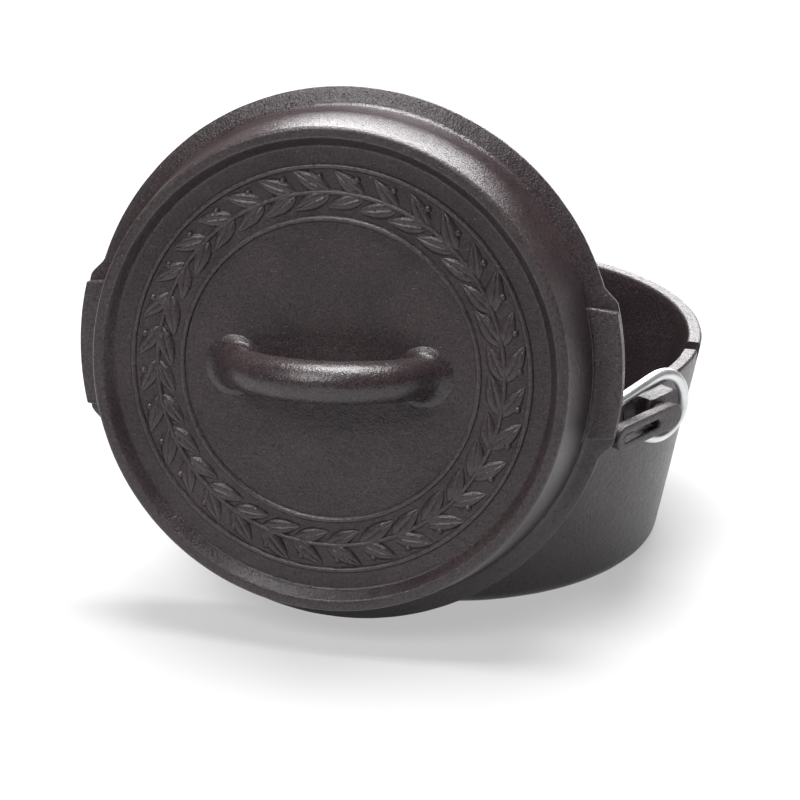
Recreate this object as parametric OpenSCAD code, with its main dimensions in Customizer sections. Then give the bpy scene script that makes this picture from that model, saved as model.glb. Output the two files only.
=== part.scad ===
// Camp dutch oven in cast iron, with its lid taken off and leaning against the pot.
// Millimetres. The origin is the centre of the pot's base, +Z is up, the lid leans on the -Y side,
// and the thermometer notch of the pot faces +X.

/* [Pot] */
// Outer diameter of the rim
pot_rim_d = 169.5; // [156:0.5:180]
// Outer diameter that the tapered wall would have at the floor
pot_base_d = 142; // [130:1:150]
// Height of the rim above the floor
pot_h = 70.5; // [66:0.5:84]
// Thickness of the wall, measured level
pot_wall = 5; // [4:0.5:7]
// Thickness of the bottom
pot_floor = 6; // [4:0.5:9]
// Rounding of the outer corner at the base
base_round = 5; // [2:0.5:8]
// Rounding of the inside corner at the bottom
floor_round = 8; // [4:0.5:12]
// Rounding of the two edges of the rim
rim_round = 1.2; // [0.5:0.1:2]

/* [Thermometer notch] */
// Width of the notch that lets a thermometer lead out under the lid
notch_w = 7; // [5:0.5:10]
// Depth of the notch below the rim
notch_h = 4.5; // [3:0.5:7]

/* [Lugs] */
// Turn of the bail's pivot line from +X
lug_turn = -28.5; // [-36:0.5:-24]
// Drop of the pivot line below the rim
pivot_drop = 5.5; // [4:0.5:8]
// Clearance between a post and the eye that turns on it
post_gap = 0.7; // [0.4:0.1:2]
// Drop of the flat on top of the lug below the rim
lug_top_drop = 1; // [0.5:0.1:2]
// Reach of the tongue that keeps the eye on its post
tongue_reach = 30; // [22:0.5:30.5]
// Reach of the tongue's other end past the middle of the post
tongue_root = 3; // [2:0.5:4]
// Length of the post beyond the wire of the eye
post_proud = 0.5; // [0.3:0.1:1]
// Height of the tongue
tongue_h = 8; // [6:0.5:9]
// Drop of the middle of the tongue below the pivot line
tongue_drop = 1; // [0.8:0.1:2]
// Thickness of the tongue
tongue_t = 3.8; // [3:0.2:5]
// Height of the slot in the tongue
slot_h = 2.8; // [2:0.2:4]
// Iron left beyond the end of the slot
slot_end = 3; // [2:0.5:5]

/* [Bail] */
// Diameter of the wire
wire_d = 3.8; // [3:0.1:4.4]
// Gap between the rim of the pot and the bow of the bail
bow_gap = 2.3; // [2.2:0.1:4]
// Gap between the rim of the pot and the wire of an eye, at the pivot line
eye_gap = 1.4; // [1.3:0.1:3]
// Outer width of the round end of an eye
eye_w = 25; // [22:0.5:27]
// Distance from the pivot line to the middle of the round end
eye_back = 1; // [0.5:0.5:4]
// Distance from the pivot line to the point where an eye meets the bow
eye_reach = 30; // [27:0.5:32]
// Length of the free end of an eye past its bend
eye_tail = 9; // [6:0.5:14]
// Extra diameter of the bend where an eye meets the bow
joint_extra = 0.6; // [0.4:0.1:1.2]
// Extra thickness of the wire round the bend of an eye
bend_extra = 0.1; // [0.06:0.02:0.3]
// Angle of the bail above level, folded to the front
bail_raise = 5; // [3.5:0.5:15]

/* [Lid] */
// Outer diameter of the brim
brim_d = 170; // [166:1:176]
// Thickness of the brim at its edge
brim_edge = 1.8; // [1.4:0.1:2.4]
// Diameter of the shoulder where the brim meets the skirt
shoulder_d = 158.6; // [156:0.2:161]
// Height of the shoulder above the seat
shoulder_h = 3.4; // [3:0.1:5]
// Rounding of the corner between the brim and the skirt
shoulder_round = 2.6; // [1:0.2:3]
// Outer diameter of the crest at the top of the skirt
crest_d = 150.6; // [146:0.2:154]
// Height of the crest above the seat
crest_h = 28; // [24:0.5:34]
// Width of the crest
crest_w = 3.4; // [2.5:0.1:5]
// Depth of the face below the crest
face_drop = 3.7; // [2:0.1:5]
// Width of the slope between the crest and the face
face_run = 2.8; // [1.5:0.1:4]
// Thickness of the lid's plate
plate_t = 5.5; // [4:0.1:7]
// Rounding of the corner inside the hollow
hollow_round = 6; // [3:0.5:9]
// Thickness of the skirt, measured level
skirt_t = 4.2; // [3.5:0.1:5]
// Height of the lip that drops into the pot
lip_h = 1.4; // [1:0.1:2]
// Width of the lip
lip_w = 3.2; // [2.4:0.1:4]
// Clearance between the lip and the inside of the rim
lip_gap = 0.6; // [0.4:0.1:1]

/* [Lid tabs] */
// Length of a tab along its outer edge
tab_w = 39; // [30:1:45]
// Reach of a tab beyond the brim
tab_out = 2.8; // [2:0.1:4]
// Thickness of the pad in the middle of a tab
tab_h = 5; // [3.5:0.1:6]
// How far each side of a pad leans out toward the skirt
tab_draft = 1.5; // [0.5:0.1:3]

/* [Lid handle] */
// Distance between the middles of the two feet
handle_span = 60; // [50:1:70]
// Height of the middle of the bow above the face
handle_rise = 18; // [15:0.5:22]
// Thickness of the bow
handle_d = 13.5; // [11:0.5:15]
// Rounding between the feet and the face
foot_round = 3; // [2:0.5:5]

/* [Lid ornament] */
// Radius of the outer bead on the face
bead_outer_r = 63; // [60:0.5:64]
// Radius of the inner bead on the face
bead_inner_r = 47; // [45:0.5:52]
// Thickness of a bead
bead_d = 2; // [1.4:0.1:2.6]

/* [Leaning lid] */
// Lean of the lid from upright
lid_lean = 10; // [6:0.5:15]
// Distance of the lid's middle from the pot's middle, along X
lid_shift = -16.5; // [-18:0.5:-10]
// Turn of the lid about its own middle
lid_spin = 1.5; // [-5:0.5:5]
// Gap between the lid and the path of the bail
lean_gap = 0.3; // [0.3:0.1:2]

/* [Hidden] */
$fn = 96;
iron = "#2f2c2b";
zinc = "#c9ccce";

// Steps in each rounded corner of an outline
corner_steps = 6;
// Overlap of pieces of one casting
sink = 1;
// Overlap of a strand with the bend of an eye
strand_lap = 0.5;
// Step, in degrees, of the points on the lip that are kept clear of the bail
lip_step = 0.5;

// Pot
rim_r = pot_rim_d / 2;
rim_in_r = rim_r - pot_wall;
base_r = pot_base_d / 2;
floor_r = base_r + (rim_r - base_r) * pot_floor / pot_h - pot_wall;

// Pivot line, eyes and bow of the bail
pivot_z = pot_h - pivot_drop;
bow_r = rim_r + bow_gap + wire_d / 2;
eye_x = rim_r + eye_gap + wire_d / 2;
eye_r = (eye_w - wire_d) / 2;
bow_start = asin(eye_reach / bow_r);
eye_lean = atan2(eye_x - bow_r * cos(bow_start), eye_reach);
strand_turn = asin(eye_r / (eye_reach + eye_back));
strand_l = (eye_reach + eye_back) * cos(strand_turn);

// Lug: the tongue lies just outside the path of the eye's round end
tongue_x = eye_x + (eye_back + eye_w / 2) * sin(eye_lean) + wire_d / 2 + lean_gap;
post_r = eye_reach * sin(strand_turn) - wire_d / 2 - post_gap;
post_end = eye_x + wire_d / 2 + post_proud;
lug_root = rim_in_r + sink;

// Lid
brim_r = brim_d / 2;
shoulder_r = shoulder_d / 2;
crest_r = crest_d / 2;
crest_in_r = crest_r - crest_w;
face_h = crest_h - face_drop;
face_r = crest_in_r - face_run;
ceiling_h = face_h - plate_t;
lip_r = rim_in_r - lip_gap;
mouth_r = lip_r - lip_w;
skirt_slope = (shoulder_r - crest_r) / (crest_h - shoulder_h);
hollow_r = shoulder_r - skirt_slope * (ceiling_h - shoulder_h) - skirt_t;
bow_rise_r = (pow(handle_span / 2, 2) + pow(handle_rise, 2)) / (2 * handle_rise);
bow_sweep = acos((bow_rise_r - handle_rise - 2 * sink) / (bow_rise_r + handle_d / 2));

// The lid stands on the edge of its brim and leans on the bail: the ceiling of its hollow stays clear
// of the whole swing, and its lip stays clear of the bow where the bail lies.
wire_reach = wire_d / 2 + lean_gap;
lid_z = brim_r * cos(lid_lean);
ceiling_y = (ceiling_h + (lid_z - pivot_z) * sin(lid_lean) - bow_r - wire_reach) / cos(lid_lean);
bail_normal = [
    sin(lug_turn) * sin(bail_raise),
    -cos(lug_turn) * sin(bail_raise),
    -cos(bail_raise)];
lip_points = [for (a = [0:lip_step:360 - lip_step])
    [lid_shift + mouth_r * cos(a),
     mouth_r * sin(a) * sin(lid_lean) + lip_h * cos(lid_lean),
     lid_z + mouth_r * sin(a) * cos(lid_lean) - lip_h * sin(lid_lean) - pivot_z]];
lip_places = [for (p = lip_points)
    let (off = (p + [0, ceiling_y, 0]) * bail_normal)
    if (abs(off) < wire_reach)
        let (reach = bow_r + sqrt(pow(wire_reach, 2) - pow(off, 2)))
        -p.y - sqrt(max(0, pow(reach, 2) + pow(off, 2) - pow(p.x, 2) - pow(p.z, 2)))];
lid_y = min(concat([ceiling_y], lip_places));

// Points of a corner at c between a and b, rounded to radius r
function corner(a, c, b, r) =
    let (u = (a - c) / norm(a - c))
    let (v = (b - c) / norm(b - c))
    let (half = acos(u * v) / 2)
    let (middle = c + (u + v) / norm(u + v) * r / sin(half))
    let (first = c + u * r / tan(half) - middle)
    let (turn = (180 - 2 * half) * sign(u.y * v.x - u.x * v.y))
    let (start = atan2(first.y, first.x))
    [for (i = [0:corner_steps])
        let (a = start + turn * i / corner_steps)
        middle + r * [cos(a), sin(a)]];

// Outline through corners given as [x, y, radius], where radius 0 stays sharp
function rounded(list) = [for (i = [0:len(list) - 1])
    let (n = len(list))
    let (p = list[i])
    let (before = list[(i + n - 1) % n])
    let (after = list[(i + 1) % n])
    each p[2] == 0 ? [[p.x, p.y]] : corner([before.x, before.y], [p.x, p.y], [after.x, after.y], p[2])];

// Bar with round ends that runs from one place to another
module slot_outline(from, to, height) {
    translate([from + height / 2, -height / 2]) square([to - from - height, height]);
    for (x = [from + height / 2, to - height / 2])
        translate([x, 0]) circle(d = height);
}

module pot_shell() {
    rotate_extrude()
        polygon(rounded([
            [0, 0, 0],
            [base_r, 0, base_round],
            [rim_r, pot_h, rim_round],
            [rim_in_r, pot_h, rim_round],
            [floor_r, pot_floor, floor_round],
            [0, pot_floor, 0]]));
}

// Post, neck and tongue on the +X side of the pivot line; the tongue points to the fold of the bail
module lug() {
    translate([lug_root, 0, pivot_z])
        rotate([0, 90, 0])
            cylinder(r = post_r, h = post_end - lug_root);
    translate([post_end - sink, 0, pivot_z - tongue_drop])
        rotate([90, 0, 90])
            linear_extrude(tongue_x + tongue_t / 2 - post_end + sink)
                slot_outline(-tongue_h + sink, tongue_root - sink, tongue_h - sink);
    translate([tongue_x, 0, pivot_z - tongue_drop])
        rotate([90, 0, 90])
            linear_extrude(tongue_t)
                difference() {
                    slot_outline(-tongue_reach, tongue_root, tongue_h);
                    slot_outline(-tongue_reach + slot_end, -post_r - sink, slot_h);
                }
}

module pot() {
    color(iron)
        difference() {
            union() {
                pot_shell();
                rotate([0, 0, lug_turn])
                    for (side = [0, 1])
                        mirror([side, 0, 0])
                            intersection() {
                                lug();
                                cylinder(r = 2 * rim_r, h = pot_h - lug_top_drop);
                            }
            }
            translate([rim_in_r - 2 * pot_wall, -notch_w / 2, pot_h - notch_h])
                cube([4 * pot_wall, notch_w, 2 * notch_h]);
        }
}

module lid_shell() {
    rotate_extrude()
        polygon(rounded([
            [0, face_h, 0],
            [0, ceiling_h, 0],
            [hollow_r, ceiling_h, hollow_round],
            [mouth_r, -lip_h, lip_h / 4],
            [lip_r, -lip_h, lip_h / 4],
            [lip_r, 0, 0],
            [brim_r, 0, brim_edge / 4],
            [brim_r, brim_edge, brim_edge / 4],
            [shoulder_r, shoulder_h, shoulder_round],
            [crest_r, crest_h, crest_w / 3],
            [crest_in_r, crest_h, crest_w / 3],
            [face_r, face_h, face_run / 2]]));
}

// Flange that flares out of the brim, and a pad on it that runs up to the skirt
module lid_tab() {
    tab_r = brim_r + tab_out;
    root_r = shoulder_r - sink;
    flare = tab_r - root_r;
    linear_extrude(brim_edge)
        intersection() {
            circle(r = tab_r);
            polygon([
                [root_r, -tab_w / 2 - flare],
                [tab_r, -tab_w / 2],
                [tab_r, tab_w / 2],
                [root_r, tab_w / 2 + flare]]);
        }
    linear_extrude(tab_h)
        difference() {
            intersection() {
                circle(r = tab_r);
                polygon([
                    [mouth_r - sink, -tab_w / 2 - tab_draft],
                    [tab_r, -tab_w / 2],
                    [tab_r, tab_w / 2],
                    [mouth_r - sink, tab_w / 2 + tab_draft]]);
            }
            circle(r = root_r);
        }
}

module lid_handle() {
    foot_r = handle_d / 2 - foot_round / 4;
    foot_corner = [for (i = [0:corner_steps])
        let (a = 270 - 90 * i / corner_steps)
        [foot_r + foot_round * (1 + cos(a)), foot_round * (1 + sin(a))]];
    foot_outline = concat(
        [[0, -sink], [foot_r + foot_round, -sink]],
        foot_corner,
        [[0, foot_round]]);
    translate([0, 0, face_h]) {
        intersection() {
            translate([0, 0, handle_rise - bow_rise_r])
                rotate([90, 0, 0])
                    rotate([0, 0, 90 - bow_sweep])
                        rotate_extrude(angle = 2 * bow_sweep)
                            translate([bow_rise_r, 0]) circle(d = handle_d);
            translate([0, 0, -sink]) cylinder(r = handle_span, h = handle_rise + handle_d);
        }
        for (side = [-1, 1])
            translate([side * (handle_span / 2 - foot_round / 4), 0, 0])
                rotate_extrude()
                    polygon(foot_outline);
    }
}

module lid() {
    color(iron)
        translate([lid_shift, lid_y, lid_z])
            rotate([90 - lid_lean, 0, 0])
                rotate([0, 0, lid_spin]) {
                    lid_shell();
                    lid_handle();
                    for (turn = [0, 180])
                        rotate([0, 0, turn]) lid_tab();
                    for (r = [bead_outer_r, bead_inner_r])
                        rotate_extrude()
                            translate([r, face_h]) circle(d = bead_d);
                }
}

// Wire hook round a post: a strand from the bow, a round end and a free end below
module eye() {
    translate([eye_x, 0, 0])
        rotate([0, 0, -eye_lean]) {
            translate([0, eye_back, 0])
                rotate([0, 90, 0])
                    rotate([0, 0, -strand_turn])
                        rotate_extrude(angle = 180 + 2 * strand_turn)
                            translate([eye_r, 0]) circle(d = wire_d + bend_extra);
            translate([0, -eye_reach, 0]) {
                rotate([-90 + strand_turn, 0, 0])
                    cylinder(d = wire_d, h = strand_l + strand_lap);
                rotate([-90 - strand_turn, 0, 0])
                    translate([0, 0, strand_l - eye_tail])
                        cylinder(d = wire_d, h = eye_tail + strand_lap);
            }
            translate([0, -eye_reach, 0]) sphere(d = wire_d + joint_extra);
        }
}

module bail() {
    color(zinc)
        translate([0, 0, pivot_z])
            rotate([0, 0, lug_turn])
                rotate([-bail_raise, 0, 0]) {
                    rotate([0, 0, 180 + bow_start])
                        rotate_extrude(angle = 180 - 2 * bow_start)
                            translate([bow_r, 0]) circle(d = wire_d);
                    for (side = [0, 1])
                        mirror([side, 0, 0]) eye();
                }
}

pot();
lid();
bail();
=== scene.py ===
# %% [markdown]
# # A camp dutch oven in cast iron
#
# This lesson dresses a measured model of a small camp pot. The frame holds three solids with true sizes:
# a pot, a lid that has been taken off and leans against it, and a wire bail. Each step below makes one
# piece of the picture, finer than its solid but in the same place, and says how else it could be made.
#
# The first step loads the frame and bakes the place of each solid into its mesh.

# %% Load the measured frame
import math

import bmesh
import bpy
import numpy as np
from mathutils import Matrix, Vector, noise


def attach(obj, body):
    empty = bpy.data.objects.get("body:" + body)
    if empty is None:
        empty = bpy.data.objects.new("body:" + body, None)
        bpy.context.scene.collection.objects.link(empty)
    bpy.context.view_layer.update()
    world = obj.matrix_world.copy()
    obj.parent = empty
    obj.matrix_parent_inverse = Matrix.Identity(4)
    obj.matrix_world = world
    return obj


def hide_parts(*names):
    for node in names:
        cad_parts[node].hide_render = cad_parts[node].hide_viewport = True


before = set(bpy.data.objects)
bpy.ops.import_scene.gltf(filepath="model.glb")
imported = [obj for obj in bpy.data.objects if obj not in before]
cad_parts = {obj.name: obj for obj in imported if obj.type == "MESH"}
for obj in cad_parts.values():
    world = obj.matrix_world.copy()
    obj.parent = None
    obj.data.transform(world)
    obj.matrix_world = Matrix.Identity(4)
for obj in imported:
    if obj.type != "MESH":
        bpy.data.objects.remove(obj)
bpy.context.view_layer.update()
print("The frame has the nodes", sorted(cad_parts))

# %% [markdown]
# ## Sizes
#
# All sizes are in millimetres here and become metres when a mesh is made. They repeat the sizes of the
# solids: a few are measured, and the rest follow from them, so that pieces that fit together change together.
# The lid stands on the edge of its brim and leans back by ten degrees, so one matrix takes it from its own
# upright drawing to its place. The bail has such a matrix too.

# %% Name the sizes of the pot, the lugs and the bail
MM = 0.001
SINK = 1.0

RIM_R, BASE_R, POT_H, POT_WALL, FLOOR_H = 84.75, 71.0, 70.5, 5.0, 6.0
BASE_ROUND, RIM_ROUND, FLOOR_ROUND = 5.0, 1.2, 8.0
NOTCH_W, NOTCH_H = 7.0, 4.5
RIM_IN_R = RIM_R - POT_WALL
FLOOR_R = BASE_R + (RIM_R - BASE_R) * FLOOR_H / POT_H - POT_WALL

PIVOT_Z = POT_H - 5.5
LUG_TURN = math.radians(-28.5)
WIRE_D, BOW_GAP, EYE_GAP = 3.8, 2.3, 1.4
EYE_W, EYE_BACK, EYE_REACH, EYE_TAIL = 25.0, 1.0, 30.0, 9.0
BAIL_RAISE = math.radians(5)
BOW_R = RIM_R + BOW_GAP + WIRE_D / 2
BOW_START = math.asin(EYE_REACH / BOW_R)
EYE_X = RIM_R + EYE_GAP + WIRE_D / 2
EYE_R = (EYE_W - WIRE_D) / 2
EYE_LEAN = math.atan2(EYE_X - BOW_R * math.cos(BOW_START), EYE_REACH)
STRAND_TURN = math.asin(EYE_R / (EYE_REACH + EYE_BACK))

POST_GAP, POST_PROUD, CLEARANCE = 0.7, 0.5, 0.3
POST_FLARE, FLARE_START = 3.0, 2.2
TONGUE_T, TONGUE_H, TONGUE_DROP, TONGUE_REACH, TONGUE_ROOT = 3.8, 8.0, 1.0, 30.0, 3.0
SLOT_H, SLOT_END = 2.8, 3.0
LUG_ROOT = RIM_IN_R + SINK
LUG_TOP = POT_H - 1.0
POST_R = EYE_REACH * math.sin(STRAND_TURN) - WIRE_D / 2 - POST_GAP
POST_END = EYE_X + WIRE_D / 2 + POST_PROUD
TONGUE_X = EYE_X + (EYE_BACK + EYE_W / 2) * math.sin(EYE_LEAN) + WIRE_D / 2 + CLEARANCE
print("The wire bow has a radius of", round(BOW_R, 2), "mm")

# %% Name the sizes of the lid
BRIM_R, BRIM_EDGE = 85.0, 1.8
SHOULDER_R, SHOULDER_H, SHOULDER_ROUND = 79.3, 3.4, 2.6
CREST_R, CREST_H, CREST_W = 75.3, 28.0, 3.4
FACE_DROP, FACE_RUN, PLATE_T, SKIRT_T, HOLLOW_ROUND = 3.7, 2.8, 5.5, 4.2, 6.0
LIP_H, LIP_W, LIP_GAP = 1.4, 3.2, 0.6
TAB_W, TAB_OUT, TAB_H, TAB_DRAFT = 39.0, 2.8, 5.0, 1.5
PAD_INSET, PAD_SINK, PAD_JOINT, PAD_HOLLOW = 0.1, 1.4, 0.3, 1.5
HANDLE_SPAN, HANDLE_RISE, HANDLE_R, HANDLE_FLARE, HANDLE_SINK = 60.0, 18.0, 6.75, 3.4, 0.8
BEAD_OUTER_R, BEAD_INNER_R, BEAD_R = 63.0, 47.0, 1.0
CREST_IN_R = CREST_R - CREST_W
FACE_R, FACE_H = CREST_IN_R - FACE_RUN, CREST_H - FACE_DROP
CEILING_H = FACE_H - PLATE_T
LIP_R = RIM_IN_R - LIP_GAP
MOUTH_R = LIP_R - LIP_W
SKIRT_SLOPE = (SHOULDER_R - CREST_R) / (CREST_H - SHOULDER_H)
HOLLOW_R = SHOULDER_R - SKIRT_SLOPE * (CEILING_H - SHOULDER_H) - SKIRT_T

LID_LEAN, LID_SPIN, LID_SHIFT = math.radians(10), math.radians(1.5), -16.5
LID_Z = BRIM_R * math.cos(LID_LEAN)
BALL_R = BOW_R + WIRE_D / 2 + CLEARANCE
LID_Y = (CEILING_H + (LID_Z - PIVOT_Z) * math.sin(LID_LEAN) - BALL_R) / math.cos(LID_LEAN)
LID_MATRIX = (
    Matrix.Translation((LID_SHIFT, LID_Y, LID_Z))
    @ Matrix.Rotation(math.radians(90) - LID_LEAN, 4, "X")
    @ Matrix.Rotation(LID_SPIN, 4, "Z")
)
BAIL_MATRIX = (
    Matrix.Translation((0, 0, PIVOT_Z))
    @ Matrix.Rotation(LUG_TURN, 4, "Z")
    @ Matrix.Rotation(-BAIL_RAISE, 4, "X")
)
print("The lid leans at", round(math.degrees(LID_LEAN)), "degrees")

# %% [markdown]
# ## Tools for castings
#
# A casting has no sharp edge: every corner of its outline is a small arc. `rounded` draws such an outline,
# `fine` splits its long runs, and `lathe` spins it into a closed solid. The Screw modifier would spin it too,
# but with plain arrays the poles close cleanly and each ring can be reshaped later.

# %% Outlines and solids of revolution
def rounded(corners, steps=6):
    """The outline through corners (x, y, radius); the first and the last point stay as they are."""
    points = [np.array(corners[0][:2], float)]
    for before, here, after in zip(corners, corners[1:], corners[2:]):
        corner = np.array(here[:2], float)
        radius = here[2] if len(here) > 2 else 0
        if radius == 0:
            points.append(corner)
            continue
        u = np.array(before[:2], float) - corner
        v = np.array(after[:2], float) - corner
        u, v = u / np.linalg.norm(u), v / np.linalg.norm(v)
        half = math.acos(np.clip(u @ v, -1, 1)) / 2
        middle = corner + (u + v) / np.linalg.norm(u + v) * radius / math.sin(half)
        first = corner + u * radius / math.tan(half) - middle
        turn = (math.pi - 2 * half) * np.sign(u[1] * v[0] - u[0] * v[1])
        start = math.atan2(first[1], first[0])
        for i in range(steps + 1):
            angle = start + turn * i / steps
            points.append(middle + radius * np.array((math.cos(angle), math.sin(angle))))
    points.append(np.array(corners[-1][:2], float))
    return np.array(points)


def fine(outline, longest):
    """The same outline with no run longer than this."""
    points = [outline[0]]
    for a, b in zip(outline, outline[1:]):
        count = max(1, math.ceil(np.linalg.norm(b - a) / longest))
        points.extend(a + (b - a) * k / count for k in range(1, count + 1))
    return np.array(points)


def lathe(outline, columns):
    """Points and faces of an outline spun about Z. It starts and ends on the axis."""
    angles = np.linspace(0, 2 * math.pi, columns, endpoint=False)
    radius, height = outline[1:-1].T
    rows = len(radius)
    x, y = np.outer(np.cos(angles), radius), np.outer(np.sin(angles), radius)
    z = np.broadcast_to(height, x.shape)
    ends = [(0, 0, outline[0][1]), (0, 0, outline[-1][1])]
    points = np.concatenate([np.stack([x, y, z], -1).reshape(-1, 3), ends])
    first, last = len(points) - 2, len(points) - 1
    faces = []
    for i in range(columns):
        a, b = i * rows, (i + 1) % columns * rows
        faces.append((first, a, b))
        faces.extend((a + j, a + j + 1, b + j + 1, b + j) for j in range(rows - 1))
        faces.append((last, b + rows - 1, a + rows - 1))
    return points, faces


print("The outline tools are ready")

# %% [markdown]
# ## From points to a piece
#
# `make_piece` turns points into a mesh object at the origin, with its normals outward and smooth shading that
# breaks at real edges. `settle` then does what a sand mould does: it makes the skin slightly uneven, always
# inward, so the piece never outgrows its solid. `mark_wear` writes how sharply each point bulges into a
# vertex attribute, which the iron reads later to rub the edges bright.

# %% Meshes, unevenness and wear
def make_piece(name, points, faces, place=None, sharp=35):
    """A mesh object made from points in millimetres."""
    mesh = bpy.data.meshes.new(name)
    mesh.from_pydata([tuple(p) for p in np.asarray(points) * MM], [], faces)
    if place is not None:
        moved = place.copy()
        moved.translation *= MM
        mesh.transform(moved)
    work = bmesh.new()
    work.from_mesh(mesh)
    bmesh.ops.recalc_face_normals(work, faces=work.faces)
    work.to_mesh(mesh)
    work.free()
    mesh.shade_smooth()
    mesh.set_sharp_from_angle(angle=math.radians(sharp))
    piece = bpy.data.objects.new(name, mesh)
    bpy.context.scene.collection.objects.link(piece)
    return piece


def vertex_arrays(mesh):
    """The places and the normals of a mesh's points."""
    place = np.empty(len(mesh.vertices) * 3, np.float32)
    normal = np.empty(len(mesh.vertices) * 3, np.float32)
    mesh.vertices.foreach_get("co", place)
    mesh.vertices.foreach_get("normal", normal)
    return place.reshape(-1, 3), normal.reshape(-1, 3)


def settle(piece, depth, size):
    """Moves each point inward by up to depth millimetres, in waves of about this size."""
    place, normal = vertex_arrays(piece.data)
    waves = [noise.noise(Vector(p)) + 0.5 * noise.noise(Vector(p * 2.5)) for p in place / (size * MM)]
    inward = depth * MM * np.clip(0.5 + 0.5 * np.array(waves), 0, 1)
    piece.data.vertices.foreach_set("co", (place - normal * inward[:, None]).astype(np.float32).ravel())
    piece.data.update()


def mark_wear(piece, low=120.0, high=700.0):
    """Writes the attribute wear: 0 on flat or hollow skin, 1 on a tight outer edge."""
    mesh = piece.data
    place, normal = vertex_arrays(mesh)
    edges = np.empty(len(mesh.edges) * 2, np.int32)
    mesh.edges.foreach_get("vertices", edges)
    a, b = edges.reshape(-1, 2).T
    bend = np.zeros(len(place))
    for here, there in ((a, b), (b, a)):
        step = place[there] - place[here]
        length = np.maximum((step * step).sum(1), 1e-12)
        np.maximum.at(bend, here, -2 * (normal[here] * step).sum(1) / length)
    wear = np.clip((bend - low) / (high - low), 0, 1)
    attribute = mesh.attributes.new("wear", "FLOAT", "POINT")
    attribute.data.foreach_set("value", wear.astype(np.float32))


print("The piece tools are ready")

# %% [markdown]
# ## The pot
#
# The pot is one outline spun round: a flat base, a tapered wall, a flat rim and the inside. The notch that
# lets a thermometer lead out is a real cut, made with a Boolean modifier and a slim block. The cut could
# also be modelled by hand, but the Boolean keeps its walls square to the rim.

# %% Spin the pot and cut its notch
POT_OUTLINE = rounded(
    [
        (0, 0),
        (BASE_R, 0, BASE_ROUND),
        (RIM_R, POT_H, RIM_ROUND),
        (RIM_IN_R, POT_H, RIM_ROUND),
        (FLOOR_R, FLOOR_H, FLOOR_ROUND),
        (0, FLOOR_H),
    ]
)
pot_piece = make_piece("pot_casting", *lathe(fine(POT_OUTLINE, 2.5), 288))
settle(pot_piece, 0.22, 14.0)


def cut_away(piece, low, high):
    """Cuts a block between two corners, in millimetres, out of a piece."""
    corners = [(x, y, z) for x in (low[0], high[0]) for y in (low[1], high[1]) for z in (low[2], high[2])]
    sides = [(0, 1, 3, 2), (4, 6, 7, 5), (0, 4, 5, 1), (2, 3, 7, 6), (0, 2, 6, 4), (1, 5, 7, 3)]
    block = make_piece("block", corners, sides)
    cut = piece.modifiers.new("cut", "BOOLEAN")
    cut.operation, cut.solver, cut.object = "DIFFERENCE", "MANIFOLD", block
    depsgraph = bpy.context.evaluated_depsgraph_get()
    mesh = bpy.data.meshes.new_from_object(piece.evaluated_get(depsgraph))
    piece.modifiers.remove(cut)
    piece.data = mesh
    bpy.data.objects.remove(block)
    mesh.materials.clear()
    mesh.polygons.foreach_set("material_index", [0] * len(mesh.polygons))
    mesh.shade_smooth()
    mesh.set_sharp_from_angle(angle=math.radians(35))


notch_low = (RIM_IN_R - POT_WALL, -NOTCH_W / 2, POT_H - NOTCH_H)
notch_high = (RIM_R + POT_WALL, NOTCH_W / 2, POT_H + NOTCH_H)
cut_away(pot_piece, notch_low, notch_high)
mark_wear(pot_piece)
print("The pot has", len(pot_piece.data.polygons), "faces")

# %% [markdown]
# ## The lugs
#
# Each lug is a round post that grows out of the wall, with a slotted tongue across its end, set off by a
# short neck. The tongue keeps the eye of the bail on its post. The post is an outline spun about its own
# axis, with a flare at the wall. Neck and tongue are plates, and a Bevel modifier breaks their edges as a
# mould would.

# %% Build one lug and turn it to both sides
def bar_outline(low, high, height, steps=10):
    """The outline of a bar with round ends, counter-clockwise."""
    half = height / 2
    turns = np.linspace(-math.pi / 2, math.pi / 2, steps)
    right = [(high - half + half * math.cos(t), half * math.sin(t)) for t in turns]
    left = [(low + half - half * math.cos(t), -half * math.sin(t)) for t in turns]
    return right + left


def tongue_mesh():
    """A slotted plate that lies in the YZ plane, as points and faces."""
    outer = bar_outline(-TONGUE_REACH, TONGUE_ROOT, TONGUE_H)
    slot = bar_outline(-TONGUE_REACH + SLOT_END, -POST_R - SINK, SLOT_H)
    count = len(outer)
    points = []
    for x in (TONGUE_X, TONGUE_X + TONGUE_T):
        points.extend((x, y, PIVOT_Z - TONGUE_DROP + z) for y, z in outer + slot)
    back, faces = 2 * count, []
    for i in range(count):
        k = (i + 1) % count
        faces.append((i, k, back + k, back + i))
        faces.append((count + i, count + k, back + count + k, back + count + i))
        faces.append((i, k, count + k, count + i))
        faces.append((back + i, back + k, back + count + k, back + count + i))
    return points, faces


def neck_mesh():
    """The short bar between the post and the tongue, as points and faces."""
    outline = bar_outline(SINK - TONGUE_H, TONGUE_ROOT - SINK, TONGUE_H - SINK)
    count = len(outline)
    ends = (POST_END - SINK, TONGUE_X + TONGUE_T / 2)
    points = [(x, y, PIVOT_Z - TONGUE_DROP + z) for x in ends for y, z in outline]
    faces = [tuple(range(count)), tuple(range(count, 2 * count))]
    faces += [(i, (i + 1) % count, count + (i + 1) % count, count + i) for i in range(count)]
    return points, faces


def post_mesh():
    """A post along X with a flare where it leaves the wall, as points and faces."""
    wall_x = LUG_ROOT + FLARE_START
    flare = [
        (POST_R + POST_FLARE - math.sqrt(POST_FLARE**2 - (POST_FLARE - d) ** 2), wall_x + d)
        for d in np.linspace(0, POST_FLARE, 7)
    ]
    outline = np.array([(0, LUG_ROOT), *flare, (POST_R, POST_END), (0, POST_END)])
    points, faces = lathe(fine(outline, 1.5), 48)
    return np.stack([points[:, 2], points[:, 0], points[:, 1] + PIVOT_Z], -1), faces


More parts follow.
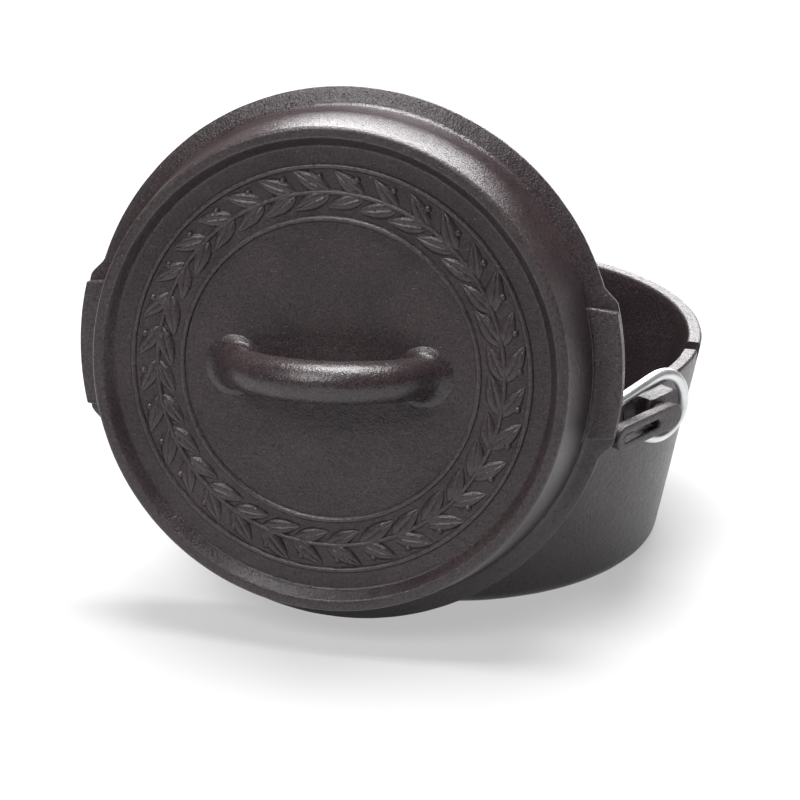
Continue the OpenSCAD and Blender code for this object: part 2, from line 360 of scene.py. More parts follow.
def flat_top(piece, height):
    """Cuts a piece off flat at this height and closes the cut."""
    work = bmesh.new()
    work.from_mesh(piece.data)
    everything = list(work.verts) + list(work.edges) + list(work.faces)
    cut = bmesh.ops.bisect_plane(
        work, geom=everything, plane_co=(0, 0, height * MM), plane_no=(0, 0, 1), clear_outer=True
    )
    rim = [e for e in cut["geom_cut"] if isinstance(e, bmesh.types.BMEdge)]
    bmesh.ops.contextual_create(work, geom=rim)
    bmesh.ops.recalc_face_normals(work, faces=work.faces)
    work.to_mesh(piece.data)
    work.free()
    piece.data.set_sharp_from_angle(angle=math.radians(35))


def bevelled(piece, width):
    """Rounds the edges of a piece and keeps the result as a plain mesh."""
    bevel = piece.modifiers.new("bevel", "BEVEL")
    bevel.width, bevel.segments, bevel.limit_method = width * MM, 3, "ANGLE"
    bevel.angle_limit = math.radians(35)
    depsgraph = bpy.context.evaluated_depsgraph_get()
    piece.data = bpy.data.meshes.new_from_object(piece.evaluated_get(depsgraph))
    piece.modifiers.clear()
    piece.data.shade_smooth()
    piece.data.set_sharp_from_angle(angle=math.radians(35))


lug_pieces = []
for side, turn in (("right", 0), ("left", math.pi)):
    place = Matrix.Rotation(LUG_TURN + turn, 4, "Z")
    for form, (points, faces) in (("post", post_mesh()), ("neck", neck_mesh()), ("tongue", tongue_mesh())):
        points = np.array(points)
        if side == "left":
            points[:, 1] *= -1
        piece = make_piece(f"lug_{form}_{side}", points, faces, place)
        flat_top(piece, LUG_TOP)
        bevelled(piece, 0.6)
        mark_wear(piece)
        lug_pieces.append(piece)
print("The lugs are", [p.name for p in lug_pieces])

# %% [markdown]
# ## The lid
#
# The lid is one outline too: the face with two beads, the crest, the skirt, the brim, the lip and the hollow.
# Then the brim grows two tabs. Their thin flanges are not added on: the rings of the brim are pulled outward
# within a range of angles, so the skin stays one closed mesh.

# %% Spin the lid and pull out its tabs
def bead(radius):
    """Points of a half-round bead on the face, from the outside inward."""
    turns = np.linspace(0, math.pi, 9)
    return [(radius + BEAD_R * math.cos(t), FACE_H + BEAD_R * math.sin(t)) for t in turns]


LID_CORNERS = [
    (0, CEILING_H),
    (HOLLOW_R, CEILING_H, HOLLOW_ROUND),
    (MOUTH_R, -LIP_H, LIP_H / 4),
    (LIP_R, -LIP_H, LIP_H / 4),
    (LIP_R, 0),
    (BRIM_R, 0, BRIM_EDGE / 4),
    (BRIM_R, BRIM_EDGE, BRIM_EDGE / 4),
    (SHOULDER_R, SHOULDER_H, SHOULDER_ROUND),
    (CREST_R, CREST_H, CREST_W / 3),
    (CREST_IN_R, CREST_H, CREST_W / 3),
    (FACE_R, FACE_H, FACE_RUN / 2),
    *bead(BEAD_OUTER_R),
    *bead(BEAD_INNER_R),
    (0, FACE_H),
]
lid_points, lid_faces = lathe(fine(rounded(LID_CORNERS), 2.2), 448)


def pull_tabs(points):
    """Pulls the brim out into two tabs on the X axis."""
    radius = np.hypot(points[:, 0], points[:, 1])
    angle = np.arctan2(np.abs(points[:, 1]), np.abs(points[:, 0]))
    side_line = (BRIM_R + TAB_OUT + TAB_W / 2) / (np.cos(angle) + np.sin(angle))
    edge = np.where(angle < math.pi / 4, np.clip(side_line, BRIM_R, BRIM_R + TAB_OUT), BRIM_R)
    out = np.clip((radius - SHOULDER_R) / (BRIM_R - SHOULDER_R), 0, 1)
    on_brim = (radius > SHOULDER_R) & (points[:, 2] < SHOULDER_H + 0.5)
    grow = np.where(on_brim, (edge - BRIM_R) * out, 0)
    scale = 1 + grow / np.maximum(radius, 1)
    return points * np.stack([scale, scale, np.ones(len(points))], -1)


lid_piece = make_piece("lid_casting", pull_tabs(lid_points), lid_faces, LID_MATRIX)
settle(lid_piece, 0.16, 12.0)
mark_wear(lid_piece)
print("The lid has", len(lid_piece.data.polygons), "faces")

# %% [markdown]
# ## The pads of the tabs
#
# On each flange lies a thick pad that a gloved hand or a lifter can grip. Its outline across the brim is
# carried along the arc of the brim, and its sides lean a little, as a mould needs. A small hollow curve joins
# it to the skirt. A cube with a Bend modifier would do as well, but its sides could not keep their lean.

# %% Sweep the two pads
def pad_mesh(columns=40):
    """One pad on the +X side of the lid, as points and faces."""
    outer, root = BRIM_R + TAB_OUT - PAD_INSET, SHOULDER_R - PAD_SINK
    middle, top = SHOULDER_R - PAD_JOINT + PAD_HOLLOW, TAB_H + PAD_HOLLOW
    curve = [
        (middle + PAD_HOLLOW * math.cos(t), top + PAD_HOLLOW * math.sin(t))
        for t in np.linspace(1.5 * math.pi, math.pi, 6)
    ]
    section = [(root, 0), (outer, 0), (outer, TAB_H), *curve, (root, top)]
    lean = TAB_DRAFT / (BRIM_R + TAB_OUT - MOUTH_R + SINK)
    points = []
    for share in np.linspace(-1, 1, columns):
        for radius, height in section:
            side = TAB_W / 2
            for _ in range(6):
                side = TAB_W / 2 + lean * (BRIM_R + TAB_OUT - math.sqrt(radius**2 - side**2))
            angle = share * math.asin(side / radius)
            points.append((radius * math.cos(angle), radius * math.sin(angle), height))
    count = len(section)
    faces = [tuple(range(count)), tuple(range((columns - 1) * count, columns * count))]
    for i in range(columns - 1):
        for j in range(count):
            k = (j + 1) % count
            faces.append((i * count + j, i * count + k, (i + 1) * count + k, (i + 1) * count + j))
    return points, faces


pad_pieces = []
for side, turn in (("right", 0), ("left", math.pi)):
    piece = make_piece(f"lid_pad_{side}", *pad_mesh(), LID_MATRIX @ Matrix.Rotation(turn, 4, "Z"))
    bevelled(piece, 0.8)
    mark_wear(piece)
    pad_pieces.append(piece)
print("The pads are", [p.name for p in pad_pieces])

# %% [markdown]
# ## The bow handle
#
# The handle is a round bar along an arc that spreads into a small trumpet where it meets the face. It is a
# sweep: a ring of points is carried along the arc. Near the face the rings turn level and widen, which a
# plain curve with a bevel can't do, so the rings are placed one by one.

# %% Sweep the handle
def handle_rings(sides=40):
    """Rings of the bow from one foot to the other, as points and faces."""
    radius = (HANDLE_SPAN**2 / 4 + HANDLE_RISE**2) / (2 * HANDLE_RISE)
    low = FACE_H + HANDLE_RISE - radius
    end = math.acos((FACE_H - HANDLE_SINK - low) / radius)
    ring = np.linspace(0, 2 * math.pi, sides, endpoint=False)
    points = []
    foot_turn, level_turn, level_span = 0.8, 0.5, 0.45
    middle = np.linspace(-foot_turn, foot_turn, 30)
    foot = np.linspace(foot_turn, end, 22)[1:]
    turns = np.concatenate([-foot[::-1], middle, foot])
    for turn in turns:
        centre = np.array((radius * math.sin(turn), 0, low + radius * math.cos(turn)))
        level = np.clip((abs(turn) - level_turn) / level_span, 0, 1)
        level = level * level * (3 - 2 * level)
        along = np.array((math.cos(turn), 0, -math.sin(turn)))
        along = along * (1 - level) + np.array((0, 0, -np.sign(turn))) * level
        along /= np.linalg.norm(along)
        across = np.array((-along[2], 0, along[0]))
        height = np.clip(centre[2] - FACE_H, 0, HANDLE_FLARE)
        thick = HANDLE_R + HANDLE_FLARE - math.sqrt(HANDLE_FLARE**2 - (HANDLE_FLARE - height) ** 2)
        sideways = np.outer(np.cos(ring), (0, 1, 0)) + np.outer(np.sin(ring), across)
        points.extend(centre + thick * sideways)
    count = len(turns)
    faces = [tuple(range(sides)), tuple(range((count - 1) * sides, count * sides))]
    for i in range(count - 1):
        for j in range(sides):
            k = (j + 1) % sides
            faces.append((i * sides + j, i * sides + k, (i + 1) * sides + k, (i + 1) * sides + j))
    return points, faces


handle_piece = make_piece("lid_handle", *handle_rings(), LID_MATRIX)
settle(handle_piece, 0.25, 9.0)
mark_wear(handle_piece)
print("The handle has", len(handle_piece.data.polygons), "faces")

# %% [markdown]
# ## A leaf wreath between the beads
#
# A plain wreath of leaves stands in low relief on the face, as stove plates and pans often have. One leaf is
# modelled point by point as a low closed cushion with a vein. Geometry Nodes set copies of it along a ring,
# so the number of leaves, the tilt and the seed stay open to change. The same could be done with an Array and
# a
# Curve modifier, but not with a leaf on each side.

# %% Model one leaf
def leaf_mesh(length=13.0, width=5.6, height=1.0, rows=14, columns=9):
    """A pointed leaf along +Y with a sunken vein, as points and faces."""
    points, faces = [], []
    for i in range(rows + 1):
        along = i / rows
        half = width / 2 * math.sin(math.pi * along**0.8) ** 0.8 + 0.05
        for j in range(columns):
            across = 2 * j / (columns - 1) - 1
            dome = (1 - across**2) ** 0.6 if abs(across) < 1 else 0.0
            vein = 0.45 * math.exp(-((across / 0.16) ** 2))
            swell = min(1, 4 * along * (1 - along) + 0.1)
            points.append((across * half, along * length, height * swell * dome * (1 - vein)))
    top = len(points)
    points.extend((x, y, -0.3) for x, y, z in points[:top])
    for i in range(rows):
        for j in range(columns - 1):
            a = i * columns + j
            faces.append((a, a + 1, a + columns + 1, a + columns))
            faces.append((top + a, top + a + columns, top + a + columns + 1, top + a + 1))
    edge = [j for j in range(columns)]
    edge += [i * columns + columns - 1 for i in range(1, rows + 1)]
    edge += [rows * columns + j for j in range(columns - 2, -1, -1)]
    edge += [i * columns for i in range(rows - 1, 0, -1)]
    for a, b in zip(edge, edge[1:] + edge[:1]):
        faces.append((a, b, top + b, top + a))
    return points, faces


leaf = make_piece("leaf", *leaf_mesh(), sharp=60)
print("One leaf has", len(leaf.data.polygons), "faces")

# %% [markdown]
# ## Materials: shared effects
#
# Two shader groups hold what the iron surfaces share. *Sandy casting* makes the grain that a sand mould
# leaves, with a height for the bump, a mottling for the colour and pits. *Rubbed edges* breaks up the wear
# attribute, so that bright metal shows in flecks. Both give only masks and heights: the shader itself stays
# in the material.

# %% Build the shader groups
def shader_group(name, inputs, outputs):
    """An empty shader group with named sockets, and its input and output nodes."""
    tree = bpy.data.node_groups.new(name, "ShaderNodeTree")
    for label, kind, value in inputs:
        socket = tree.interface.new_socket(label, in_out="INPUT", socket_type=kind)
        if value is not None:
            socket.default_value = value
    for label, kind in outputs:
        tree.interface.new_socket(label, in_out="OUTPUT", socket_type=kind)
    return tree, tree.nodes.new("NodeGroupInput"), tree.nodes.new("NodeGroupOutput")


def noise_node(tree, vector, scale, detail, rough=0.5):
    """A noise texture on this vector."""
    node = tree.nodes.new("ShaderNodeTexNoise")
    node.inputs["Scale"].default_value = scale
    node.inputs["Detail"].default_value = detail
    node.inputs["Roughness"].default_value = rough
    tree.links.new(vector, node.inputs["Vector"])
    return node.outputs["Fac"]


def math_node(tree, operation, a, b, clamp=False):
    """A math node on two values or sockets."""
    node = tree.nodes.new("ShaderNodeMath")
    node.operation, node.use_clamp = operation, clamp
    for socket, value in zip(node.inputs, (a, b)):
        if isinstance(value, (int, float)):
            socket.default_value = value
        else:
            tree.links.new(value, socket)
    return node.outputs[0]


def range_node(tree, value, low, high, to_low=0.0, to_high=1.0):
    """A clamped map from one range to another."""
    node = tree.nodes.new("ShaderNodeMapRange")
    for label, number in (("From Min", low), ("From Max", high), ("To Min", to_low), ("To Max", to_high)):
        node.inputs[label].default_value = number
    tree.links.new(value, node.inputs["Value"])
    return node.outputs["Result"]


sand, sand_in, sand_out = shader_group(
    "Sandy casting",
    [("Vector", "NodeSocketVector", None), ("Grain", "NodeSocketFloat", 1.0)],
    [
        ("Height", "NodeSocketFloat"),
        ("Mottle", "NodeSocketFloat"),
        ("Speckle", "NodeSocketFloat"),
        ("Pits", "NodeSocketFloat"),
    ],
)
grain = noise_node(sand, sand_in.outputs["Vector"], 1500.0, 3.0, 0.6)
lumps = noise_node(sand, sand_in.outputs["Vector"], 420.0, 2.0)
waves = noise_node(sand, sand_in.outputs["Vector"], 55.0, 4.0, 0.55)
pits = range_node(sand, noise_node(sand, sand_in.outputs["Vector"], 900.0, 1.0), 0.64, 0.76)
grainy = math_node(sand, "MULTIPLY", grain, sand_in.outputs["Grain"])
height = math_node(sand, "ADD", grainy, math_node(sand, "MULTIPLY", lumps, 0.9))
height = math_node(sand, "SUBTRACT", height, math_node(sand, "MULTIPLY", pits, 0.5))
sand.links.new(height, sand_out.inputs["Height"])
sand.links.new(range_node(sand, waves, 0.3, 0.7), sand_out.inputs["Mottle"])
sand.links.new(range_node(sand, grain, 0.36, 0.66), sand_out.inputs["Speckle"])
sand.links.new(pits, sand_out.inputs["Pits"])

rub, rub_in, rub_out = shader_group(
    "Rubbed edges",
    [("Wear", "NodeSocketFloat", 0.0), ("Vector", "NodeSocketVector", None)],
    [("Mask", "NodeSocketFloat")],
)
flecks = range_node(rub, noise_node(rub, rub_in.outputs["Vector"], 1100.0, 3.0, 0.65), 0.40, 0.70)
rub.links.new(math_node(rub, "MULTIPLY", rub_in.outputs["Wear"], flecks, True), rub_out.inputs["Mask"])
print("The shader groups are", sand.name, "and", rub.name)

# %% [markdown]
# ## Materials: iron and zinc
#
# Seasoned iron is almost black, with a slightly brown cast, and the oil skin gives it a soft gloss. The grain
# drives bump and roughness, the mottling shifts the colour, and rubbed edges are lighter and smoother. The
# handle has a skin of its own, which hands and gloves have polished. The wire is bright zinc: a metal with
# faint clouds and fine scratches. Coordinates are the object's own, so the grain moves with the piece.

# %% Name the colours
IRON_DARK = ((0.017, 0.0110, 0.0124), (0.028, 0.0190, 0.0210))
IRON_LIGHT = ((0.050, 0.036, 0.039), (0.080, 0.059, 0.063))
IRON_PIT = (0.014, 0.011, 0.012)
IRON_WORN = (0.090, 0.076, 0.078)
ZINC_CLOUDS = ((0.72, 0.74, 0.76), (0.90, 0.91, 0.92))
print("The iron's darkest colour is", IRON_DARK[0])

# %% Make the materials
def new_material(name):
    """A material with a Principled BSDF, and its tree, shader and object coordinates."""
    material = bpy.data.materials.new(name)
    material.use_nodes = True
    tree = material.node_tree
    coordinates = tree.nodes.new("ShaderNodeTexCoord").outputs["Object"]
    return material, tree, tree.nodes["Principled BSDF"], coordinates


def mix_colours(tree, mask, a, b):
    """A colour mix by a mask; a and b are colours or sockets."""
    node = tree.nodes.new("ShaderNodeMix")
    node.data_type = "RGBA"
    tree.links.new(mask, node.inputs["Factor"])
    for label, value in (("A", a), ("B", b)):
        socket = next(s for s in node.inputs if s.name == label and s.type == "RGBA")
        if isinstance(value, tuple):
            socket.default_value = (*value, 1.0)
        else:
            tree.links.new(value, socket)
    return next(s for s in node.outputs if s.type == "RGBA")


def group_node(tree, group):
    """A node that uses a shader group."""
    node = tree.nodes.new("ShaderNodeGroup")
    node.node_tree = group
    return node


def iron_material(name, grain_share, bump_depth, roughest=0.40, smoothest=0.24):
    """Seasoned cast iron with this share of fine grain, depth of bump in metres and range of roughness."""
    material, tree, shader, coordinates = new_material(name)
    skin = group_node(tree, sand)
    skin.inputs["Grain"].default_value = grain_share
    edges = group_node(tree, rub)
    wear = tree.nodes.new("ShaderNodeAttribute")
    wear.attribute_name = "wear"
    tree.links.new(coordinates, skin.inputs["Vector"])
    tree.links.new(coordinates, edges.inputs["Vector"])
    tree.links.new(wear.outputs["Fac"], edges.inputs["Wear"])
    dark = mix_colours(tree, skin.outputs["Mottle"], *IRON_DARK)
    light = mix_colours(tree, skin.outputs["Mottle"], *IRON_LIGHT)
    colour = mix_colours(tree, skin.outputs["Speckle"], dark, light)
    colour = mix_colours(tree, skin.outputs["Pits"], colour, IRON_PIT)
    colour = mix_colours(tree, edges.outputs["Mask"], colour, IRON_WORN)
    tree.links.new(colour, shader.inputs["Base Color"])
    rough = range_node(tree, skin.outputs["Height"], 0.4, 1.5, roughest, smoothest)
    rough = math_node(tree, "SUBTRACT", rough, math_node(tree, "MULTIPLY", edges.outputs["Mask"], 0.04))
    tree.links.new(rough, shader.inputs["Roughness"])
    shader.inputs["Specular IOR Level"].default_value = 0.6
    bump = tree.nodes.new("ShaderNodeBump")
    bump.inputs["Strength"].default_value = 0.9
    bump.inputs["Distance"].default_value = bump_depth
    tree.links.new(skin.outputs["Height"], bump.inputs["Height"])
    tree.links.new(bump.outputs["Normal"], shader.inputs["Normal"])
    return material


def zinc_material(name):
    """Bright zinc plate on wire."""
    material, tree, shader, coordinates = new_material(name)
    clouds = noise_node(tree, coordinates, 140.0, 3.0)
    scratches = noise_node(tree, coordinates, 1900.0, 2.0, 0.7)
    colour = mix_colours(tree, range_node(tree, clouds, 0.3, 0.7), *ZINC_CLOUDS)
    tree.links.new(colour, shader.inputs["Base Color"])
    tree.links.new(range_node(tree, scratches, 0.3, 0.75, 0.28, 0.44), shader.inputs["Roughness"])
    shader.inputs["Metallic"].default_value = 0.75
    bump = tree.nodes.new("ShaderNodeBump")
    bump.inputs["Strength"].default_value = 0.25
    bump.inputs["Distance"].default_value = 0.0001
    tree.links.new(scratches, bump.inputs["Height"])
    tree.links.new(bump.outputs["Normal"], shader.inputs["Normal"])
    return material


rough_iron = iron_material("rough_iron", 1.0, 0.00028)
fine_iron = iron_material("fine_iron", 0.9, 0.00018)
held_iron = iron_material("held_iron", 0.9, 0.00016, 0.36, 0.18)
zinc = zinc_material("zinc_plate")
for piece, material in ((pot_piece, rough_iron), (lid_piece, fine_iron), (handle_piece, held_iron)):
    piece.data.materials.append(material)
for piece in (*lug_pieces, *pad_pieces):
    piece.data.materials.append(rough_iron)
print("The materials are", rough_iron.name, fine_iron.name, held_iron.name, "and", zinc.name)

# %% [markdown]
# ## Geometry Nodes: the wreath
#
# The group takes its numbers from named inputs. A circle of points carries two leaves each, one leaning out
# and one leaning in, a berry between them, and a thin stem along the ring. Realize Instances makes one mesh
# of it all, which then becomes plain geometry in the lid's place.

# %% Grow the wreath
def node_group(name, inputs, takes_geometry=False):
    """An empty Geometry Nodes group with named inputs, and its input and output nodes."""
    tree = bpy.data.node_groups.new(name, "GeometryNodeTree")
    if takes_geometry:
        tree.interface.new_socket("Geometry", in_out="INPUT", socket_type="NodeSocketGeometry")
    for label, kind in inputs:
        tree.interface.new_socket(label, in_out="INPUT", socket_type=kind)
    tree.interface.new_socket("Geometry", in_out="OUTPUT", socket_type="NodeSocketGeometry")
    return tree, tree.nodes.new("NodeGroupInput"), tree.nodes.new("NodeGroupOutput")


def add_node(tree, kind, **links):
    """A node whose inputs, named with _ for a space, take sockets or values."""
    node = tree.nodes.new(kind)
    for label, value in links.items():
        socket = node.inputs[label.replace("_", " ")]
        if isinstance(value, bpy.types.NodeSocket):
            tree.links.new(value, socket)
        else:
            socket.default_value = value
    return node


def set_inputs(modifier, values):
    """Sets the inputs of a Geometry Nodes modifier by their names."""
    for item in modifier.node_group.interface.items_tree:
        if item.item_type == "SOCKET" and item.in_out == "INPUT" and item.name in values:
            modifier[item.identifier] = values[item.name]


def plain_mesh(piece):
    """The evaluated mesh of a piece, with its modifiers worked in."""
    bpy.context.view_layer.update()
    depsgraph = bpy.context.evaluated_depsgraph_get()
    return bpy.data.meshes.new_from_object(piece.evaluated_get(depsgraph))


wreath, w_in, w_out = node_group(
    "Leaf wreath",
    [
        ("Leaf", "NodeSocketObject"),
        ("Leaf pairs", "NodeSocketInt"),
        ("Ring radius", "NodeSocketFloat"),
        ("Tilt", "NodeSocketFloat"),
        ("Stem radius", "NodeSocketFloat"),
        ("Berry radius", "NodeSocketFloat"),
        ("Berry offset", "NodeSocketFloat"),
        ("Seed", "NodeSocketInt"),
        ("Iron", "NodeSocketMaterial"),
    ],
)
w = w_in.outputs
points = add_node(wreath, "GeometryNodeMeshCircle", Vertices=w["Leaf pairs"], Radius=w["Ring radius"])
leaf_info = add_node(wreath, "GeometryNodeObjectInfo", Object=w["Leaf"])
index = add_node(wreath, "GeometryNodeInputIndex")
step = math_node(wreath, "DIVIDE", 2 * math.pi, w["Leaf pairs"])
turn = math_node(wreath, "MULTIPLY", index.outputs["Index"], step)
parts = []
for number, way in enumerate(("SUBTRACT", "ADD")):
    angle = math_node(wreath, way, turn, w["Tilt"])
    euler = add_node(wreath, "ShaderNodeCombineXYZ", Z=angle)
    random = wreath.nodes.new("FunctionNodeRandomValue")
    random.data_type = "FLOAT"
    random.inputs[2].default_value, random.inputs[3].default_value = 0.88, 1.06
    wreath.links.new(math_node(wreath, "ADD", w["Seed"], number), random.inputs["Seed"])
    leaves = add_node(
        wreath,
        "GeometryNodeInstanceOnPoints",
        Points=points.outputs["Mesh"],
        Instance=leaf_info.outputs["Geometry"],
        Rotation=euler.outputs["Vector"],
        Scale=random.outputs[1],
    )
    parts.append(leaves.outputs["Instances"])
berry = add_node(wreath, "GeometryNodeMeshUVSphere", Segments=14, Rings=9, Radius=w["Berry radius"])
berry_radius = math_node(wreath, "ADD", w["Ring radius"], w["Berry offset"])
berry_ring = add_node(
    wreath,
    "GeometryNodeMeshCircle",
    Vertices=w["Leaf pairs"],
    Radius=berry_radius,
)
berries = add_node(
    wreath, "GeometryNodeInstanceOnPoints", Points=berry_ring.outputs["Mesh"], Instance=berry.outputs["Mesh"]
)
half_step = math_node(wreath, "MULTIPLY", step, 0.30)
berry_turn = add_node(wreath, "ShaderNodeCombineXYZ", Z=half_step)
turned = add_node(
    wreath,
    "GeometryNodeTransform",
    Geometry=berries.outputs["Instances"],
    Rotation=berry_turn.outputs["Vector"],
)
parts.append(turned.outputs["Geometry"])
stem_line = add_node(wreath, "GeometryNodeCurvePrimitiveCircle", Resolution=192, Radius=w["Ring radius"])
stem_ring = add_node(wreath, "GeometryNodeCurvePrimitiveCircle", Resolution=10, Radius=w["Stem radius"])
stem = add_node(
    wreath,
    "GeometryNodeCurveToMesh",
    Curve=stem_line.outputs["Curve"],
    Profile_Curve=stem_ring.outputs["Curve"],
)
parts.append(stem.outputs["Mesh"])
together = wreath.nodes.new("GeometryNodeJoinGeometry")
for part in parts:
    wreath.links.new(part, together.inputs["Geometry"])
real = add_node(wreath, "GeometryNodeRealizeInstances", Geometry=together.outputs["Geometry"])
painted = add_node(wreath, "GeometryNodeSetMaterial", Geometry=real.outputs["Geometry"], Material=w["Iron"])
wreath.links.new(painted.outputs["Geometry"], w_out.inputs["Geometry"])

wreath_piece = bpy.data.objects.new("lid_wreath", bpy.data.meshes.new("lid_wreath"))
bpy.context.scene.collection.objects.link(wreath_piece)
growth = wreath_piece.modifiers.new("wreath", "NODES")
growth.node_group = wreath
set_inputs(
    growth,
    {
        "Leaf": leaf,
        "Leaf pairs": 32,
        "Ring radius": 55.0 * MM,
        "Tilt": math.radians(27),
        "Stem radius": 0.8 * MM,
        "Berry radius": 1.15 * MM,
        "Berry offset": 4.7 * MM,
        "Seed": 4,
        "Iron": fine_iron,
    },
)
wreath_piece.data = plain_mesh(wreath_piece)
wreath_piece.modifiers.clear()
bpy.data.objects.remove(leaf)
wreath_place = LID_MATRIX @ Matrix.Translation((0, 0, FACE_H))
wreath_place.translation *= MM
wreath_piece.data.transform(wreath_place)
wreath_piece.data.shade_smooth()
wreath_piece.data.set_sharp_from_angle(angle=math.radians(50))
mark_wear(wreath_piece, 300.0, 1500.0)
print("The wreath has", len(wreath_piece.data.polygons), "faces")

# %% [markdown]
# ## Geometry Nodes: the bail
#
# The bail is one piece of wire: a bow, and at each end an eye, which is a hook with a short free end. Its
# line is computed point by point and smoothed a little where wire would not bend sharply. A Geometry Nodes
# group gives the line its thickness with Curve to Mesh. A curve's own bevel would do the same, but a named
# wire diameter is clearer.

# %% Draw the line of the wire
def eye_line(side):
    """The line of one eye from the cut end to the bow, in the bail's own frame."""
    reach = EYE_REACH + EYE_BACK
    strand = reach * math.cos(STRAND_TURN)
    flat = []
    for k in np.linspace(strand - EYE_TAIL, strand, 24):
        flat.append((-EYE_REACH + k * math.cos(STRAND_TURN), -k * math.sin(STRAND_TURN)))
    for t in np.linspace(-math.pi / 2 - STRAND_TURN, math.pi / 2 + STRAND_TURN, 64)[1:-1]:
        flat.append((EYE_BACK + EYE_R * math.cos(t), EYE_R * math.sin(t)))
    for k in np.linspace(strand, 0, 48):
        flat.append((-EYE_REACH + k * math.cos(STRAND_TURN), k * math.sin(STRAND_TURN)))
    cosine, sine = math.cos(EYE_LEAN), math.sin(EYE_LEAN)
    return [(side * (EYE_X + y * sine), y * cosine, z) for y, z in flat]


def bow_line():
    """The line of the bow from the right eye to the left one."""
    turns = np.linspace(BOW_START, math.pi - BOW_START, 300)[1:-1]
    return [(BOW_R * math.cos(t), -BOW_R * math.sin(t), 0) for t in turns]


def smoothed(points, reach):
    """Points averaged with their neighbours; the ends stay."""
    points = np.array(points)
    result = points.copy()
    for i in range(1, len(points) - 1):
        near = min(reach, i, len(points) - 1 - i)
        result[i] = points[i - near : i + near + 1].mean(0)
    return result


line = smoothed(eye_line(1) + bow_line() + eye_line(-1)[::-1], 4)
print("The wire's line has", len(line), "points")

# %% Give the line its thickness
bent, b_in, b_out = node_group(
    "Bent wire",
    [("Wire diameter", "NodeSocketFloat"), ("Sides", "NodeSocketInt"), ("Plating", "NodeSocketMaterial")],
    takes_geometry=True,
)
b = b_in.outputs
ring = add_node(
    bent,
    "GeometryNodeCurvePrimitiveCircle",
    Resolution=b["Sides"],
    Radius=math_node(bent, "MULTIPLY", b["Wire diameter"], 0.5),
)
tube = add_node(
    bent,
    "GeometryNodeCurveToMesh",
    Curve=b["Geometry"],
    Profile_Curve=ring.outputs["Curve"],
    Fill_Caps=True,
)
real = add_node(bent, "GeometryNodeRealizeInstances", Geometry=tube.outputs["Mesh"])
plated = add_node(bent, "GeometryNodeSetMaterial", Geometry=real.outputs["Geometry"], Material=b["Plating"])
bent.links.new(plated.outputs["Geometry"], b_out.inputs["Geometry"])

wire_curve = bpy.data.curves.new("wire_line", "CURVE")
wire_curve.dimensions = "3D"
spline = wire_curve.splines.new("POLY")
spline.points.add(len(line) - 1)
for point, place in zip(spline.points, line):
    point.co = (*(BAIL_MATRIX @ Vector(place) * MM), 1.0)
wire_object = bpy.data.objects.new("wire_line", wire_curve)
bpy.context.scene.collection.objects.link(wire_object)
thickness = wire_object.modifiers.new("wire", "NODES")
thickness.node_group = bent
set_inputs(thickness, {"Wire diameter": WIRE_D * MM, "Sides": 20, "Plating": zinc})
bail_piece = bpy.data.objects.new("bail_wire", plain_mesh(wire_object))
bpy.context.scene.collection.objects.link(bail_piece)
bpy.data.objects.remove(wire_object)
bail_piece.data.shade_smooth()
bail_piece.data.set_sharp_from_angle(angle=math.radians(40))
print("The bail has", len(bail_piece.data.polygons), "faces")

# %% [markdown]
# ## Riding on the frame
#
# Each piece rides on the body that carries it and stands for its solid, which stays hidden for collisions.

# %% Tie the pieces to their bodies
for piece, body in ((pot_piece, "pot"), (lid_piece, "lid"), (bail_piece, "bail")):
    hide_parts(body)
    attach(piece, body)
for piece in lug_pieces:
    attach(piece, "pot")
for piece in (handle_piece, wreath_piece, *pad_pieces):
    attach(piece, "lid")

# %% [markdown]
# ## Floor, light and camera
#
# The floor is a wide pale sheet. The camera and the glossy pieces see a little glow in it, so that it reads
# as the white of a studio picture, while the shadow of the pot still shows. A light high above, just behind
# the plane of the lid, draws the bright lines on the skirt and the handle. A wide one behind the pot
# brightens the rim, and a weak one in front fills the face of the lid. An HDR picture of a studio could light
# the pot too, but with three lamps each bright line can be traced to its source.

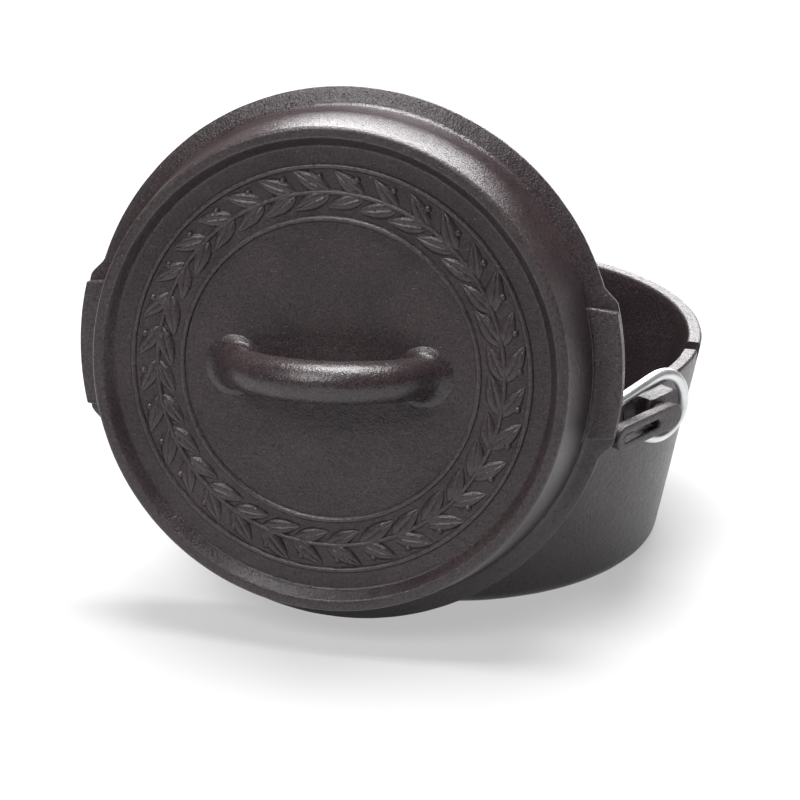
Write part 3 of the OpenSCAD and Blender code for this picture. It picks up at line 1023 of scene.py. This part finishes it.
# %% Lay the floor
FLOOR_HALF, FLOOR_GREY, FLOOR_GLOW = 3.0, 0.35, 0.46
floor_mesh = bpy.data.meshes.new("floor")
floor_corners = [(x * FLOOR_HALF, y * FLOOR_HALF, 0) for x, y in ((-1, -1), (1, -1), (1, 1), (-1, 1))]
floor_mesh.from_pydata(floor_corners, [], [(0, 1, 2, 3)])
floor = bpy.data.objects.new("floor", floor_mesh)
bpy.context.scene.collection.objects.link(floor)
paper = bpy.data.materials.new("paper")
paper.use_nodes = True
tree = paper.node_tree
paper_shader = tree.nodes["Principled BSDF"]
paper_shader.inputs["Base Color"].default_value = (FLOOR_GREY, FLOOR_GREY, FLOOR_GREY, 1)
paper_shader.inputs["Roughness"].default_value = 0.9
paper_shader.inputs["Specular IOR Level"].default_value = 0.1
paper_shader.inputs["Emission Color"].default_value = (1, 1, 1, 1)
seen = tree.nodes.new("ShaderNodeLightPath")
white = seen.outputs["Is Camera Ray"]
for kind in ("Is Glossy Ray", "Is Transmission Ray"):
    white = math_node(tree, "MAXIMUM", white, seen.outputs[kind])
glow = math_node(tree, "MULTIPLY", white, FLOOR_GLOW)
tree.links.new(glow, paper_shader.inputs["Emission Strength"])
floor_mesh.materials.append(paper)
print("The floor is laid")

# %% Hang the lights
def soft_light(name, place, aim, size, power):
    """A rectangular area light that looks at a point."""
    lamp = bpy.data.lights.new(name, "AREA")
    lamp.shape, lamp.size, lamp.size_y, lamp.energy = "RECTANGLE", size[0], size[1], power
    light = bpy.data.objects.new(name, lamp)
    light.location = place
    light.rotation_euler = (Vector(aim) - Vector(place)).to_track_quat("-Z", "Y").to_euler()
    bpy.context.scene.collection.objects.link(light)
    return light


soft_light("back_light", (-0.10, 1.30, 0.60), (0, 0, 0.08), (0.9, 0.5), 15)
soft_light("top_light", (-0.02, 0.12, 1.25), (0, -0.04, 0.05), (0.7, 0.7), 28)
soft_light("front_light", (-0.32, -1.00, 1.00), (0, -0.05, 0.08), (0.5, 0.5), 8.5)
world = bpy.data.worlds.new("studio")
world.use_nodes = True
world.node_tree.nodes["Background"].inputs["Color"].default_value = (1, 1, 1, 1)
world.node_tree.nodes["Background"].inputs["Strength"].default_value = 0.03
bpy.context.scene.world = world
print("The lights hang")

# %% Set up the camera
CAMERA_PLACE, CAMERA_TILT, CAMERA_TURN = (0.19861, -0.86242, 0.40215), 22.10, 14.073
lens = bpy.data.cameras.new("camera")
lens.lens, lens.sensor_width = 126.0, 36.0
lens.clip_start, lens.clip_end = 0.05, 20
camera = bpy.data.objects.new("camera", lens)
camera.location = CAMERA_PLACE
camera.rotation_euler = (math.radians(90 - CAMERA_TILT), 0, math.radians(CAMERA_TURN))
bpy.context.scene.collection.objects.link(camera)
bpy.context.scene.camera = camera
bpy.context.scene.view_settings.view_transform = "Standard"
print("The camera looks from", tuple(camera.location))
